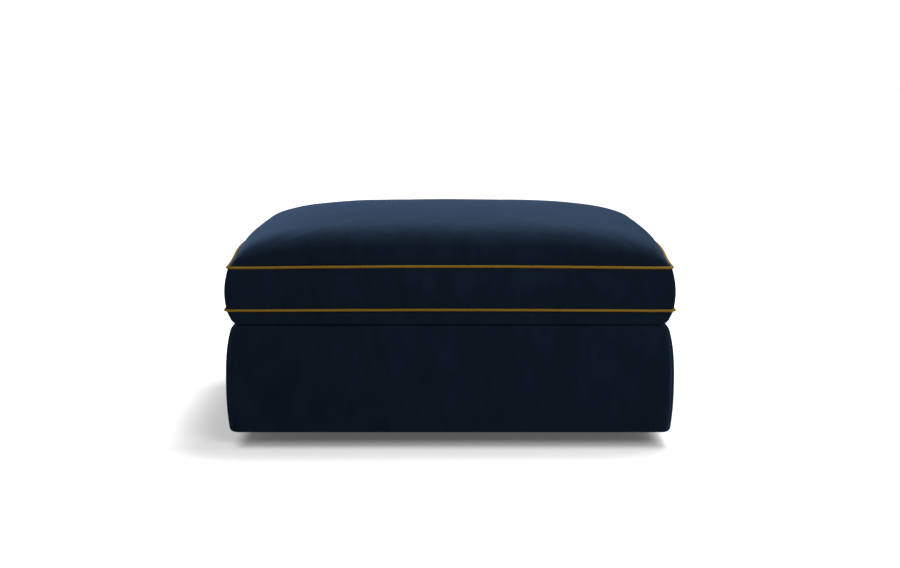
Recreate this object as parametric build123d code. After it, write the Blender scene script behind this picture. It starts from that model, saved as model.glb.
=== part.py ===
from build123d import *
import math
import os

# An upholstered ottoman: a padded box base on four set-back feet, with a sprung deck and a loose,
# crowned seat cushion piped in a contrasting welt. Millimetres, +Z up, front towards -Y.
# The origin is on the floor under the middle of the base.

# Overall sizes
overall_width = 1016.0
overall_depth = 711.0
floor_gap = 36.0              # from the floor up to the dust cover under the base
base_body_height = 248.0      # upholstered body of the base, without the feet
cushion_drop = 35.7           # from the deck up to the lower piping
boxing_height = 97.0          # from the lower piping to the upper piping
crown_height = 98.0           # from the upper piping to the top of the crown

# Cloth, padding and the clearances between layers
cover_cloth = 1.5             # velvet with its backing
dust_cloth = 1.0
layer_gap = 0.5               # between soft layers that follow each other's curve
rest_gap = 0.3                # between the loose cushion and the deck
cut_overrun = 5.0             # how far a cutting shape runs past what it cuts

# Form of the base's padded sides
base_side_bulge = 17.0        # how far the top of a side stands in from its fullest point
base_corner_radius = 26.0
base_top_roll = 17.0
base_bottom_roll = 10.0
base_height_shares = (0.0, 0.17, 0.40, 0.62, 0.80, 0.92, 1.0)
base_inset_shares = (0.40, 0.12, 0.0, 0.06, 0.31, 0.64, 1.0)

# Turned edges of the base cover
turn_under_width = 60.0
deck_border_width = 95.0
dust_cover_margin = 30.0

# Wooden frame
pad_depth = 22.5              # from the fullest point of the cover's inside to the upholstery board
board_thickness = 4.0
rail_thickness = 25.0
bottom_rail_height = 80.0
top_rail_height = 70.0
post_size = 45.0
corner_block_leg = 80.0
corner_block_thickness = 25.0
corner_block_setback = 6.0
foot_rail_width = 100.0
foot_rail_thickness = 25.0
frame_screw_radius = 2.5
frame_screw_length = 60.0
frame_screw_head_radius = 4.8
frame_screw_head_depth = 3.0
rail_screw_spacing = 50.0
screw_clearance = 0.1

# Spring deck
spring_count = 7
spring_wire_radius = 1.9
spring_width = 50.0
spring_bend_pitch = 23.0
spring_side_margin = 42.0     # from the side rail to the middle of the first spring
clip_width = 20.0
clip_strip = 1.2
clip_tail = 12.0
clip_clearance = 0.1
tie_wire_radius = 1.6
insulator_thickness = 1.5
insulator_margin = 9.0
deck_pad_thickness = 22.0

# Feet
foot_setback = 146.0          # from the edge of the base to the near side of a foot
foot_top_size = 66.0
foot_bottom_size = 54.0
foot_edge_radius = 8.0
foot_sole = 6.0               # plastic left under the screw heads
foot_screw_spacing = 34.0
foot_screw_radius = 2.4
foot_screw_head_radius = 4.6
foot_screw_head_depth = 2.4
foot_screw_grip = 22.0        # how far a foot screw goes into the foot rail
foot_recess_radius = 6.0
glide_radius = 24.0
glide_thickness = 3.5

# Staples under the base
staple_pitch = 72.0
staple_crown = 11.0
staple_wire = 1.0
staple_leg = 8.0

# Cushion
cushion_inset_x = 2.5         # the cushion's fullest point stands in from the base's fullest point
cushion_inset_y = 5.5
lower_seam_inset = 4.0        # each seam stands in from the cushion's fullest point
upper_seam_inset = 8.4
seam_corner_radius = 16.0
band_height_shares = (0.0, 0.14, 0.40, 0.70, 1.0)
band_swell_shares = (0.0, 0.62, 1.0, 0.86, 0.0)   # 0 at the straight line between seams, 1 at the fullest point
crown_dome = 19.0             # rise of the gentle dome over the whole top, within the crown's height
crown_side_roll = 263.0       # width of the rounded shoulder at the two ends
crown_front_roll = 188.0      # the same at the front and the back
crown_side_fullness = 2.21    # 1 is a straight slope, 2 a quarter of an ellipse
crown_front_fullness = 2.64
crown_corner_softness = 0.91   # 0 is a plain product of the two shoulders, 1 a corner that stays low
crown_radius_limit_share = 0.95
crown_levels = 16
crown_top_share = 0.992
belly_roll = 53.0             # width of the rounded edge under the lower piping
belly_height_shares = (0.0, 0.03, 0.10, 0.25, 0.50, 0.75, 1.0)

# Piping
piping_radius = 3.0
piping_cord_radius = 1.9
piping_cord_gap = 0.2
piping_flange = 10.0
flange_thickness = 1.6
flange_clearance = 0.2
piping_standoff = 0.5

# Zip in the back of the boxing
zip_panel_end = 65.5          # from the end of the cushion to the end of the zip panels
zip_end = 15.0                # from the end of the zip panels to the end of the coils
zip_slot_half = 5.3
coil_width = 2.4
coil_thickness = 2.2
coil_split = 1.6              # between the two coils
tape_thickness = 0.7
tape_width = 13.0
tape_end = 10.0               # tape beyond the end of the coils
stop_length = 4.0
stop_thickness = 2.8
slider_length = 11.0
slider_plate = 1.0
slider_half_width = 4.7
slider_clearance = 0.3
slider_post_thickness = 1.0
slider_post_length = 3.0
bridge_length = 8.0
bridge_wall = 1.0
bridge_opening = 2.2
bridge_width = 2.0
pull_pin_radius = 0.8
pull_length = 26.0
pull_half_width = 3.4
pull_plate = 1.2
pull_arm_width = 1.2
zip_groove_half = 16.0
zip_groove_depth = 4.6

# Heights worked out from the sizes above
base_bottom = floor_gap + dust_cloth
base_top = base_bottom + base_body_height
frame_bottom = base_bottom + cover_cloth
deck_pad_top = base_top - cover_cloth - layer_gap
deck_pad_bottom = deck_pad_top - deck_pad_thickness
wire_stack = clip_strip + clip_clearance + spring_wire_radius      # rail top up to the spring's centre line
clip_top = 2 * (clip_strip + clip_clearance + spring_wire_radius)
frame_top = deck_pad_bottom - layer_gap - insulator_thickness - layer_gap - clip_top - clip_clearance
cushion_bottom = base_top + rest_gap
lower_seam = cushion_bottom + cushion_drop
upper_seam = lower_seam + boxing_height
seam_half = flange_thickness / 2 + flange_clearance

# Half sizes worked out from the sizes above
base_half_x = overall_width / 2
base_half_y = overall_depth / 2
board_half_x = base_half_x - cover_cloth - pad_depth
board_half_y = base_half_y - cover_cloth - pad_depth
frame_half_x = board_half_x - board_thickness
frame_half_y = board_half_y - board_thickness
rail_inner_x = frame_half_x - rail_thickness
rail_inner_y = frame_half_y - rail_thickness
post_inner_x = frame_half_x - post_size
post_inner_y = frame_half_y - post_size
cushion_half_x = base_half_x - cushion_inset_x
cushion_half_y = base_half_y - cushion_inset_y
lower_half_x = cushion_half_x - lower_seam_inset
lower_half_y = cushion_half_y - lower_seam_inset
upper_half_x = cushion_half_x - upper_seam_inset
upper_half_y = cushion_half_y - upper_seam_inset
foam_half_x = upper_half_x - piping_flange - layer_gap
foam_half_y = upper_half_y - piping_flange - layer_gap
zip_panel_half_length = cushion_half_x - zip_panel_end
zip_half_length = zip_panel_half_length - zip_end
foot_x = base_half_x - foot_setback - foot_top_size / 2
foot_y = base_half_y - foot_setback - foot_top_size / 2

SIDES = ("front", "back", "left", "right")
CORNERS = (("front_left", -1, -1), ("front_right", 1, -1), ("back_left", -1, 1), ("back_right", 1, 1))


# Common shapes

def block(x0, x1, y0, y1, z0, z1):
    return Pos((x0 + x1) / 2, (y0 + y1) / 2, (z0 + z1) / 2) * Box(abs(x1 - x0), abs(y1 - y0), abs(z1 - z0))


def rod(radius, start, direction, length):
    return Plane(origin=start, z_dir=direction) * Cylinder(
        radius, length, align=(Align.CENTER, Align.CENTER, Align.MIN)
    )


def level(half_x, half_y, radius, z):
    return Pos(0, 0, z) * RectangleRounded(2 * half_x, 2 * half_y, radius)


def stack(levels, ruled=False):
    # One solid through rounded rectangles that lie above each other
    return loft([level(*row).face() for row in levels], ruled=ruled)


def joined(pieces):
    return Part() + list(pieces)


def group(pieces):
    # Separate solids that share one node
    return Compound(children=[solid for piece in pieces for solid in piece.solids()])


def mitre_region(side, half_x, half_y):
    # The share of the plan that belongs to one side, cut at 45 degrees through the corners
    reach_x = half_x + cut_overrun
    reach_y = half_y + cut_overrun
    ridge = reach_x - reach_y
    outlines = {
        "front": [(-reach_x, -reach_y), (reach_x, -reach_y), (ridge, 0), (-ridge, 0)],
        "back": [(reach_x, reach_y), (-reach_x, reach_y), (-ridge, 0), (ridge, 0)],
        "left": [(-reach_x, reach_y), (-reach_x, -reach_y), (-ridge, 0)],
        "right": [(reach_x, -reach_y), (reach_x, reach_y), (ridge, 0)],
    }
    outline = Polyline(*outlines[side], close=True)
    return extrude(make_face(outline), amount=upper_seam)


def closed_run(section, half_x, half_y, corner, z):
    # Carries an upright section (outward, up) once round a rounded rectangle
    upright = Plane.XZ * section
    straight_x = half_x - corner
    straight_y = half_y - corner
    pieces = []
    for turn, reach, length in (
        (0, half_x, straight_y),
        (90, half_y, straight_x),
        (180, half_x, straight_y),
        (270, half_y, straight_x),
    ):
        side = extrude(Pos(reach, 0, 0) * upright, amount=length, both=True)
        pieces.append(Pos(0, 0, z) * Rot(0, 0, turn) * side)
    for turn, side_x, side_y in ((0, 1, 1), (90, -1, 1), (180, -1, -1), (270, 1, -1)):
        bend = revolve(Pos(corner, 0, 0) * upright, axis=Axis.Z, revolution_arc=90)
        pieces.append(Pos(side_x * straight_x, side_y * straight_y, z) * Rot(0, 0, turn) * bend)
    return joined(pieces)


# Base: wooden frame

def frame_rails():
    made = {}
    for height_name, low, high in (
        ("bottom", frame_bottom, frame_bottom + bottom_rail_height),
        ("top", frame_top - top_rail_height, frame_top),
    ):
        made[f"front_{height_name}_rail"] = block(
            -post_inner_x, post_inner_x, -frame_half_y, -rail_inner_y, low, high
        )
        made[f"back_{height_name}_rail"] = block(
            -post_inner_x, post_inner_x, rail_inner_y, frame_half_y, low, high
        )
        made[f"left_{height_name}_rail"] = block(
            -frame_half_x, -rail_inner_x, -post_inner_y, post_inner_y, low, high
        )
        made[f"right_{height_name}_rail"] = block(
            rail_inner_x, frame_half_x, -post_inner_y, post_inner_y, low, high
        )
    for side, sign in (("left", -1), ("right", 1)):
        made[f"{side}_foot_rail"] = block(
            sign * foot_x - foot_rail_width / 2,
            sign * foot_x + foot_rail_width / 2,
            -rail_inner_y,
            rail_inner_y,
            frame_bottom,
            frame_bottom + foot_rail_thickness,
        )
    return made


def corner_posts():
    return {
        f"{name}_post": block(
            sx * post_inner_x, sx * frame_half_x, sy * post_inner_y, sy * frame_half_y, frame_bottom, frame_top
        )
        for name, sx, sy in CORNERS
    }


def block_levels():
    # Underside of the lower corner blocks, above the foot rails, and of the upper ones
    return (
        frame_bottom + foot_rail_thickness + corner_block_setback,
        frame_top - corner_block_setback - corner_block_thickness,
    )


def corner_blocks():
    # Notched triangles that sit in the angle of two rails, round the inside of the post
    outline = Polyline(
        (post_inner_x - corner_block_leg, rail_inner_y),
        (post_inner_x, rail_inner_y),
        (post_inner_x, post_inner_y),
        (rail_inner_x, post_inner_y),
        (rail_inner_x, post_inner_y - corner_block_leg),
        close=True,
    )
    shape = extrude(make_face(outline), amount=corner_block_thickness)
    made = []
    for bottom in block_levels():
        for _, sx, sy in CORNERS:
            placed = shape
            if sx < 0:
                placed = mirror(placed, about=Plane.YZ)
            if sy < 0:
                placed = mirror(placed, about=Plane.XZ)
            made.append(Pos(0, 0, bottom) * placed)
    return made


def frame_screw(radius_extra=0.0):
    # Points along +Z, with its head's top at the origin
    shank = Cylinder(
        frame_screw_radius + radius_extra, frame_screw_length, align=(Align.CENTER, Align.CENTER, Align.MIN)
    )
    head = Cylinder(
        frame_screw_head_radius + radius_extra,
        frame_screw_head_depth,
        align=(Align.CENTER, Align.CENTER, Align.MIN),
    )
    return shank + head


def frame_screw_places():
    # Through each corner block into its post, and through the front and back rails into the foot rails
    places = []
    mid_x = (post_inner_x - corner_block_leg + rail_inner_x) / 2
    mid_y = (rail_inner_y + post_inner_y - corner_block_leg) / 2
    for bottom in block_levels():
        for _, sx, sy in CORNERS:
            start = (sx * mid_x, sy * mid_y, bottom + corner_block_thickness / 2)
            slope = (post_inner_x - mid_x, post_inner_y - mid_y)
            places.append(Plane(origin=start, z_dir=(sx * slope[0], sy * slope[1], 0)))
    height = frame_bottom + foot_rail_thickness / 2
    for sx in (-1, 1):
        for sy in (-1, 1):
            for shift in (-rail_screw_spacing / 2, rail_screw_spacing / 2):
                start = (sx * foot_x + shift, sy * frame_half_y, height)
                places.append(Plane(origin=start, z_dir=(0, -sy, 0)))
    return places


def upholstery_boards():
    low = frame_bottom
    high = frame_top
    return {
        "front_board": block(-board_half_x, board_half_x, -board_half_y, -frame_half_y, low, high),
        "back_board": block(-board_half_x, board_half_x, frame_half_y, board_half_y, low, high),
        "left_board": block(-board_half_x, -frame_half_x, -frame_half_y, frame_half_y, low, high),
        "right_board": block(frame_half_x, board_half_x, -frame_half_y, frame_half_y, low, high),
    }


# Base: spring deck

def spring_rows():
    # Places along Y of a spring's cross bars, from the front clip to the back clip
    reach = frame_half_y - rail_thickness / 2
    bars = max(4, round(2 * reach / spring_bend_pitch)) + 1
    pitch = 2 * reach / (bars - 1)
    return [-reach + pitch * number for number in range(bars)]


def spring_columns():
    reach = rail_inner_x - spring_side_margin
    return [-reach + 2 * reach * number / (spring_count - 1) for number in range(spring_count)]


def zigzag_spring():
    rows = spring_rows()
    bend = (rows[1] - rows[0]) / 2
    half_bar = spring_width / 2 - bend
    runs = []
    for number, y in enumerate(rows):
        way = 1 if number % 2 == 0 else -1
        runs.append(Line((-way * half_bar, y), (way * half_bar, y)))
        if number < len(rows) - 1:
            runs.append(
                ThreePointArc(
                    (way * half_bar, y), (way * (half_bar + bend), y + bend), (way * half_bar, y + 2 * bend)
                )
            )
    path = Wire(runs)
    start = Plane(origin=path @ 0, z_dir=path % 0)
    return sweep(start * Circle(spring_wire_radius), path=path)


def springs():
    shape = zigzag_spring()
    height = frame_top + wire_stack + clip_clearance
    return [Pos(x, 0, height) * shape for x in spring_columns()]


def spring_clips():
    # Steel strip rolled round the end bar, with a tail that lies on the rail
    inner = spring_wire_radius + clip_clearance
    outer = inner + clip_strip
    made = []
    for y, way in ((spring_rows()[0], -1), (spring_rows()[-1], 1)):
        for x in spring_columns():
            ring = Rot(0, 90, 0) * (Cylinder(outer, clip_width) - Cylinder(inner, clip_width))
            tail = block(
                -clip_width / 2, clip_width / 2, 0, way * clip_tail, -outer, -outer + clip_strip
            )
            roll = Rot(0, 90, 0) * Cylinder(inner, clip_width)
            made.append(Pos(x, y, frame_top + outer + clip_clearance) * (ring + (tail - roll)))
    return made


def tie_wires():
    rows = spring_rows()
    reach = rail_inner_x - spring_side_margin + spring_width / 2
    height = frame_top + wire_stack + clip_clearance - spring_wire_radius - tie_wire_radius - clip_clearance
    made = []
    for share in (1 / 3, 2 / 3):
        number = round(share * (len(rows) - 1))
        y = rows[number]
        made.append(rod(tie_wire_radius, (-reach, y, height), (1, 0, 0), 2 * reach))
    return made


def insulator():
    bottom = frame_top + clip_top + clip_clearance + layer_gap
    return block(
        -frame_half_x + insulator_margin,
        frame_half_x - insulator_margin,
        -frame_half_y + insulator_margin,
        frame_half_y - insulator_margin,
        bottom,
        bottom + insulator_thickness,
    )


# Base: padding and cover

def base_form(inset):
    # The padded outside of the base, or the same form a given distance inside it
    levels = []
    for height_share, inset_share in zip(base_height_shares, base_inset_shares):
        side = inset_share * base_side_bulge + inset
        z = base_bottom + height_share * base_body_height + inset * (1 - 2 * height_share)
        levels.append((base_half_x - side, base_half_y - side, base_corner_radius - inset, z))
    form = stack(levels)
    top_edges = form.faces().sort_by(Axis.Z)[-1].edges()
    form = fillet(top_edges, base_top_roll - inset)
    bottom_edges = form.faces().sort_by(Axis.Z)[0].edges()
    return fillet(bottom_edges, base_bottom_roll - inset)


def base_padding():
    form = base_form(cover_cloth + layer_gap)
    above = block(-base_half_x, base_half_x, -base_half_y, base_half_y, deck_pad_bottom, base_top)
    frame_space = block(
        -board_half_x, board_half_x, -board_half_y, board_half_y, base_bottom - cut_overrun, deck_pad_bottom
    )
    sides = form - above - frame_space
    made = {f"{side}_padding": sides & mitre_region(side, base_half_x, base_half_y) for side in SIDES}
    made["deck_pad"] = form & above
    return made


def deck_opening(clearance):
    half_x = base_half_x - deck_border_width - clearance
    half_y = base_half_y - deck_border_width - clearance
    return block(-half_x, half_x, -half_y, half_y, base_top - cover_cloth, base_top)


def base_covers():
    shell = base_form(0.0) - base_form(cover_cloth)
    shell = shell - deck_opening(0.0)
    under_x = base_half_x - turn_under_width
    under_y = base_half_y - turn_under_width
    shell = shell - block(-under_x, under_x, -under_y, under_y, base_bottom, frame_bottom)
    return {f"{side}_cover": shell & mitre_region(side, base_half_x, base_half_y) for side in SIDES}


def foot_places():
    return [(name, sx * foot_x, sy * foot_y) for name, sx, sy in CORNERS]


def dust_cover():
    half_x = base_half_x - dust_cover_margin
    half_y = base_half_y - dust_cover_margin
    sheet = block(-half_x, half_x, -half_y, half_y, floor_gap, base_bottom)
    hole = foot_top_size / 2 + layer_gap
    for _, x, y in foot_places():
        sheet = sheet - block(x - hole, x + hole, y - hole, y + hole, floor_gap, base_bottom)
    return sheet


def staple_places():
    line_x = frame_half_x - rail_thickness / 2
    line_y = frame_half_y - rail_thickness / 2
    places = []
    for reach, line, turn in ((post_inner_x, line_y, 0), (post_inner_y, line_x, 90)):
        count = max(2, round(2 * (reach - staple_crown) / staple_pitch)) + 1
        for number in range(count):
            along = (reach - staple_crown) * (2 * number / (count - 1) - 1)
            for side in (-1, 1):
                places.append(Pos(0, 0, floor_gap) * Rot(0, 0, turn) * Pos(along, side * line, 0))
    return places


def staple_legs():
    # Two square legs that go up through the dust cover and the turned edge into the rails
    return [
        block(
            side * staple_crown / 2,
            side * (staple_crown / 2 - staple_wire),
            -staple_wire / 2,
            staple_wire / 2,
            0,
            staple_leg,
        )
        for side in (-1, 1)
    ]


def staple():
    crown = block(-staple_crown / 2, staple_crown / 2, -staple_wire / 2, staple_wire / 2, -staple_wire, 0)
    return joined([crown, *staple_legs()])


# Base: feet

def foot_screw(radius_extra=0.0):
    # Points along +Z, with its head's underside at the origin
    head = Cylinder(
        foot_screw_head_radius + radius_extra,
        foot_screw_head_depth,
        align=(Align.CENTER, Align.CENTER, Align.MAX),
    )
    shank = Cylinder(
        foot_screw_radius + radius_extra,
        foot_screw_top() - foot_screw_seat(),
        align=(Align.CENTER, Align.CENTER, Align.MIN),
    )
    return head + shank


def foot_screw_seat():
    return glide_thickness + foot_sole + foot_screw_head_depth


def foot_screw_top():
    return frame_bottom + foot_screw_grip


def foot_screw_places():
    return [
        Pos(x + side * foot_screw_spacing / 2, y, foot_screw_seat())
        for _, x, y in foot_places()
        for side in (-1, 1)
    ]


def feet():
    bottom = Pos(0, 0, glide_thickness) * RectangleRounded(foot_bottom_size, foot_bottom_size, foot_edge_radius)
    top = Pos(0, 0, frame_bottom) * RectangleRounded(foot_top_size, foot_top_size, foot_edge_radius)
    shape = loft([bottom.face(), top.face()], ruled=True)
    recess = Cylinder(
        foot_recess_radius,
        foot_sole + foot_screw_head_depth,
        align=(Align.CENTER, Align.CENTER, Align.MIN),
    )
    hole = Cylinder(
        foot_screw_radius + screw_clearance, frame_bottom, align=(Align.CENTER, Align.CENTER, Align.MIN)
    )
    for side in (-1, 1):
        cut = Pos(side * foot_screw_spacing / 2, 0, glide_thickness) * (recess + hole)
        shape = shape - cut
    return {f"{name}_foot": Pos(x, y, 0) * shape for name, x, y in foot_places()}


def glides():
    disc = Cylinder(glide_radius, glide_thickness, align=(Align.CENTER, Align.CENTER, Align.MIN))
    return [Pos(x, y, 0) * disc for _, x, y in foot_places()]


# Cushion

def shoulder(depth, roll, fullness):
    # Rises from 0 at the seam to 1 at the inner end of the rounded shoulder
    share = min(max(depth / roll, 0.0), 1.0)
    return (1 - (1 - share) ** fullness) ** (1 / fullness)


def crown_share(x, y):
    # Height of the crown's surface over a point of the plan, as a share of the whole crown
    ends = shoulder(upper_half_x - abs(x), crown_side_roll, crown_side_fullness)
    fronts = shoulder(upper_half_y - abs(y), crown_front_roll, crown_front_fullness)
    dome = (1 - (x / upper_half_x) ** 2) * (1 - (y / upper_half_y) ** 2)
    shoulders = ends * fronts * (1 - crown_corner_softness * (1 - ends) * (1 - fronts))
    dome_part = crown_dome / crown_height
    return (1 - dome_part) * shoulders + dome_part * dome


def depth_where(share, surface, reach):
    # Halves the range until the surface over that depth has the wanted height share
    low, high = 0.0, reach
    for _ in range(40):
        middle = (low + high) / 2
        if surface(middle) < share:
            low = middle
        else:
            high = middle
    return (low + high) / 2


def crown_form(inset):
    # The crowned top, from its flat base at the upper seam, or the same form inside it
    levels = []
    for number in range(crown_levels + 1):
        share = crown_top_share * math.sin(math.pi / 2 * number / crown_levels)
        half_x = upper_half_x - depth_where(share, lambda d: crown_share(upper_half_x - d, 0), upper_half_x)
        half_y = upper_half_y - depth_where(share, lambda d: crown_share(0, upper_half_y - d), upper_half_y)
        corner = depth_where(share, lambda d: crown_share(half_x - d, half_y - d), half_y)
        radius = max(seam_corner_radius, corner / (1 - math.sqrt(0.5)))
        radius = min(radius, crown_radius_limit_share * half_y) - inset
        z = upper_seam + seam_half + share * (crown_height - seam_half)
        z = z - inset * share
        levels.append((half_x - inset, half_y - inset, radius, z))
    return stack(levels, ruled=True)


def belly_form(inset):
    # The rounded underside, from the flat bottom up to the lower seam, or the same form inside it
    levels = []
    height = cushion_drop - seam_half
    for height_share in belly_height_shares:
        roll = belly_roll * (1 - math.sqrt(1 - (1 - height_share) ** 2))
        half_x = lower_half_x - roll - inset
        half_y = lower_half_y - roll - inset
        radius = seam_corner_radius + roll - inset
        z = cushion_bottom + height * height_share + inset * (1 - height_share)
        levels.append((half_x, half_y, radius, z))
    return stack(levels)


def band_form(inset):
    # The boxing between the two seams, swelling outwards at its middle
    low = lower_seam + seam_half
    high = upper_seam - seam_half
    levels = []
    for height_share, swell_share in zip(band_height_shares, band_swell_shares):
        line_inset = lower_seam_inset + (upper_seam_inset - lower_seam_inset) * height_share
        side = line_inset * (1 - swell_share) + inset
        radius = seam_corner_radius - inset
        z = low + height_share * (high - low)
        levels.append((cushion_half_x - side, cushion_half_y - side, radius, z))
    return stack(levels)


def zip_middle():
    return (lower_seam + upper_seam) / 2


def zip_back_space(low, high, half_length):
    return block(-half_length, half_length, foam_half_y, base_half_y + cut_overrun, low, high)


def boxing():
    ring = band_form(0.0) - band_form(cover_cloth)
    back = zip_back_space(lower_seam, upper_seam, zip_panel_half_length)
    upper = zip_back_space(zip_middle() + zip_slot_half, upper_seam, zip_panel_half_length)
    lower = zip_back_space(lower_seam, zip_middle() - zip_slot_half, zip_panel_half_length)
    return {
        "boxing_band": ring - back,
        "zip_panel_upper": ring & upper,
        "zip_panel_lower": ring & lower,
    }


def cushion_panels():
    return {
        "cushion_top_panel": crown_form(0.0) - crown_form(cover_cloth),
        "cushion_bottom_panel": belly_form(0.0) - belly_form(cover_cloth),
    }


def cushion_filling():
    inset = cover_cloth + layer_gap
    foam_bottom = lower_seam - seam_half
    foam_corner = seam_corner_radius - piping_flange - layer_gap
    core = extrude(
        level(foam_half_x, foam_half_y, foam_corner, foam_bottom), amount=upper_seam + seam_half - foam_bottom
    )
    side_wrap = band_form(inset) - core
    groove = block(
        -zip_half_length - tape_end - layer_gap,
        zip_half_length + tape_end + layer_gap,
        chain_back() - zip_groove_depth,
        base_half_y,
        zip_middle() - zip_groove_half,
        zip_middle() + zip_groove_half,
    )
    return {
        "foam_core": core,
        "fibre_wrap_top": crown_form(inset),
        "fibre_wrap_bottom": belly_form(inset),
        "fibre_wrap_sides": side_wrap - groove,
    }


def piping_section():
    tube = Circle(piping_radius) - Circle(piping_cord_radius + piping_cord_gap)
    tongue_start = -piping_cord_radius - piping_cord_gap
    tongue_end = -piping_radius - piping_standoff - piping_flange
    tongue = Pos((tongue_start + tongue_end) / 2, 0) * Rectangle(tongue_start - tongue_end, flange_thickness)
    hollow = Circle(piping_cord_radius + piping_cord_gap)
    return tube + (tongue - hollow)


def piping():
    runs = (
        ("upper_piping", upper_half_x, upper_half_y, upper_seam),
        ("lower_piping", lower_half_x, lower_half_y, lower_seam),
    )
    stand = piping_radius + piping_standoff
    made = {}
    cords = []
    for name, half_x, half_y, z in runs:
        line = (half_x + stand, half_y + stand, seam_corner_radius + stand, z)
        made[name] = closed_run(piping_section(), *line)
        cords.append(closed_run(Sketch() + Circle(piping_cord_radius), *line))
    made["piping_cords"] = group(cords)
    return made


# Zip in the back of the boxing

def band_swell_drop(reach):
    # How far the boxing falls back from its fullest point at a given height from its middle
    return upper_seam_inset * (2 * reach / boxing_height) ** 2


def chain_front_of_tape():
    inside = cushion_half_y - cover_cloth
    return inside - band_swell_drop(coil_split / 2 + tape_width) - slider_clearance


def chain_back():
    return chain_front_of_tape() - tape_thickness


def chain_face():
    return chain_front_of_tape() + coil_thickness


def zip_tapes():
    made = {}
    for name, side in (("upper", 1), ("lower", -1)):
        near = zip_middle() + side * coil_split / 2
        tape = block(
            -zip_half_length - tape_end,
            zip_half_length + tape_end,
            chain_back(),
            chain_front_of_tape(),
            near,
            near + side * tape_width,
        )
        coil = block(
            -zip_half_length,
            zip_half_length,
            chain_front_of_tape(),
            chain_face(),
            near,
            near + side * coil_width,
        )
        made[f"zip_tape_{name}"] = tape + coil
    return made


def zip_stops():
    # One broad stop where the zip opens, and a small one on each tape where it closes
    z = zip_middle()
    start = zip_half_length
    reach = coil_split / 2 + coil_width
    face = chain_front_of_tape() + stop_thickness
    made = [
        block(-start - stop_length, -start, chain_front_of_tape(), face, z - reach, z + reach),
    ]
    for side in (-1, 1):
        low = z + side * coil_split / 2
        made.append(
            block(start, start + stop_length, chain_front_of_tape(), face, low, low + side * coil_width)
        )
    return made


def slider_rest():
    return zip_half_length - slider_length / 2 - slider_clearance


def slider_travel():
    return 2 * slider_rest()


def slider_face():
    # Outside of the slider's top plate
    return chain_face() + slider_clearance + slider_plate


def zip_slider():
    x = slider_rest()
    z = zip_middle()
    low = x - slider_length / 2
    high = x + slider_length / 2
    inner_flange = coil_split / 2 + coil_width + slider_clearance
    top_under = chain_face() + slider_clearance
    bottom_face = chain_back() - slider_clearance
    pieces = [
        block(low, high, top_under, slider_face(), z - slider_half_width, z + slider_half_width),
        block(low, high, bottom_face - slider_plate, bottom_face, z - slider_half_width, z + slider_half_width),
        block(
            high - slider_post_length,
            high,
            bottom_face,
            top_under,
            z - slider_post_thickness / 2,
            z + slider_post_thickness / 2,
        ),
    ]
    for side in (-1, 1):
        pieces.append(
            block(
                low,
                high,
                chain_front_of_tape() + slider_clearance,
                top_under,
                z + side * inner_flange,
                z + side * slider_half_width,
            )
        )
    arch = block(
        x - bridge_length / 2,
        x + bridge_length / 2,
        slider_face(),
        slider_face() + bridge_opening + bridge_wall,
        z - bridge_width / 2,
        z + bridge_width / 2,
    )
    opening = block(
        x - bridge_length / 2 + bridge_wall,
        x + bridge_length / 2 - bridge_wall,
        slider_face(),
        slider_face() + bridge_opening,
        z - bridge_width / 2,
        z + bridge_width / 2,
    )
    pieces.append(arch - opening)
    return joined(pieces)


def pull_axis():
    return slider_rest(), slider_face() + slider_clearance + pull_pin_radius


def zip_pull():
    # A pin under the bridge, two arms beside it and a flat tab that lies back over the closed chain
    x, y = pull_axis()
    z = zip_middle()
    pin = rod(pull_pin_radius, (x, y, z - pull_half_width), (0, 0, 1), 2 * pull_half_width)
    clear_of_bridge = bridge_length / 2 + slider_clearance + bridge_wall
    half_plate = pull_plate / 2
    tab = block(
        x - pull_length,
        x - clear_of_bridge,
        y - half_plate,
        y + half_plate,
        z - pull_half_width,
        z + pull_half_width,
    )
    arms = [
        block(
            x - clear_of_bridge,
            x,
            y - half_plate,
            y + half_plate,
            z + side * (pull_half_width - pull_arm_width),
            z + side * pull_half_width,
        )
        for side in (-1, 1)
    ]
    return joined([pin, tab, *arms])


# Assembly

def all_parts():
    parts = {}
    parts.update(frame_rails())
    parts.update(corner_posts())
    parts["corner_blocks"] = group(corner_blocks())
    parts["frame_screws"] = group([place * frame_screw() for place in frame_screw_places()])
    drilled = ("rail", "post")
    holes = [place * frame_screw(screw_clearance) for place in frame_screw_places()]
    foot_holes = [place * foot_screw(screw_clearance) for place in foot_screw_places()]
    for name in list(parts):
        if name.endswith(drilled) or name == "corner_blocks":
            parts[name] = drill(parts[name], holes + foot_holes)
    parts.update(upholstery_boards())
    parts["springs"] = group(springs())
    parts["spring_clips"] = group(spring_clips())
    parts["tie_wires"] = group(tie_wires())
    parts["insulator"] = insulator()
    parts.update(base_padding())
    parts.update(base_covers())
    parts["deck_cloth"] = deck_opening(layer_gap)
    parts["dust_cover"] = dust_cover()
    parts["staples"] = group([place * staple() for place in staple_places()])
    leg_holes = [place * leg for place in staple_places() for leg in staple_legs()]
    for name in list(parts):
        if name.endswith(("bottom_rail", "_cover")):
            parts[name] = drill(parts[name], leg_holes)
    parts.update(feet())
    parts["foot_glides"] = group(glides())
    parts["foot_screws"] = group([place * foot_screw() for place in foot_screw_places()])
    parts.update(cushion_filling())
    parts.update(cushion_panels())
    parts.update(boxing())
    parts.update(piping())
    parts.update(zip_tapes())
    parts["zip_stops"] = group(zip_stops())
    parts["zip_slider"] = zip_slider()
    parts["zip_pull"] = zip_pull()
    return parts


def drill(shape, holes):
    # Cuts only the holes that reach each solid, and keeps separate solids apart
    cut = []
    for solid in shape.solids():
        box = solid.bounding_box()
        near = [hole for hole in holes if box.overlaps(hole.bounding_box())]
        cut.append(solid.cut(*near) if near else solid)
    return group(cut)


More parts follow.
